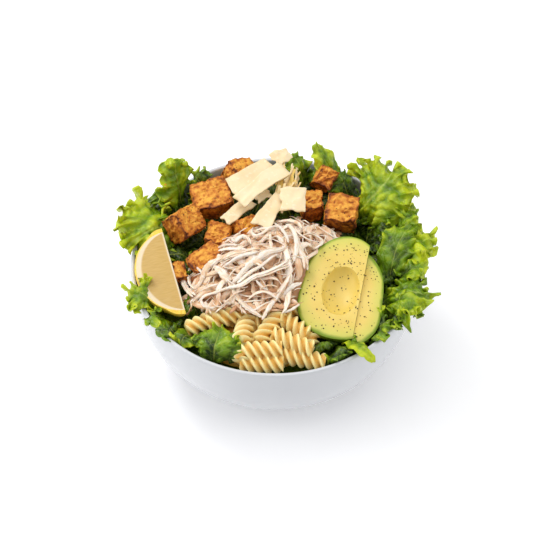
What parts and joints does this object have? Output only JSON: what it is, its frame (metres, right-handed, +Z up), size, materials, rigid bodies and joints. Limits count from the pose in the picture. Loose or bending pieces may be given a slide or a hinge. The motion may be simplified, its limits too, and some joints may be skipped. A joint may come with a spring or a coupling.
{
  "type": "chicken salad in its bowl",
  "caption": "Deep round white bowl filled above its rim with frilled lettuce, pulled chicken, spiral pasta, croutons, hard cheese shavings, an avocado half and a lemon wedge.",
  "frame": {"origin": "middle of the bowl's foot, on the surface it stands on", "axes": "+Z up along the bowl's axis, +X to the right as the picture shows the salad, -Y towards its front with the pasta"},
  "size_m": [0.234, 0.2092, 0.1245],
  "materials": {
    "glaze": "white glazed porcelain",
    "lettuce": "fresh green leaf",
    "pasta": "boiled pasta, slightly wet",
    "chicken": "cooked breast meat, pulled",
    "avocado": "cut avocado flesh, green at the edge",
    "lemon": "lemon flesh and waxy rind",
    "crouton": "fried bread, browned",
    "cheese": "hard cheese shavings"
  },
  "bodies": {
    "root": {"bowl": "glaze", "lettuce": "lettuce", "pasta": "pasta", "chicken": "chicken", "avocado_half": "avocado", "avocado_slice": "avocado", "lemon_wedge": "lemon", "crouton_left": "crouton", "crouton_big_left": "crouton", "crouton_back_left": "crouton", "crouton_middle": "crouton", "crouton_centre": "crouton", "crouton_low": "crouton", "crouton_by_lemon": "crouton", "crouton_back_right": "crouton", "crouton_round": "crouton", "crouton_big_right": "crouton", "parmesan_slab": "cheese", "parmesan_long": "cheese", "parmesan_low_left": "cheese", "parmesan_triangle": "cheese", "parmesan_square": "cheese", "parmesan_back": "cheese", "parmesan_small": "cheese", "parmesan_edge_left": "cheese", "parmesan_edge_right": "cheese"}
  },
  "joints": []
}
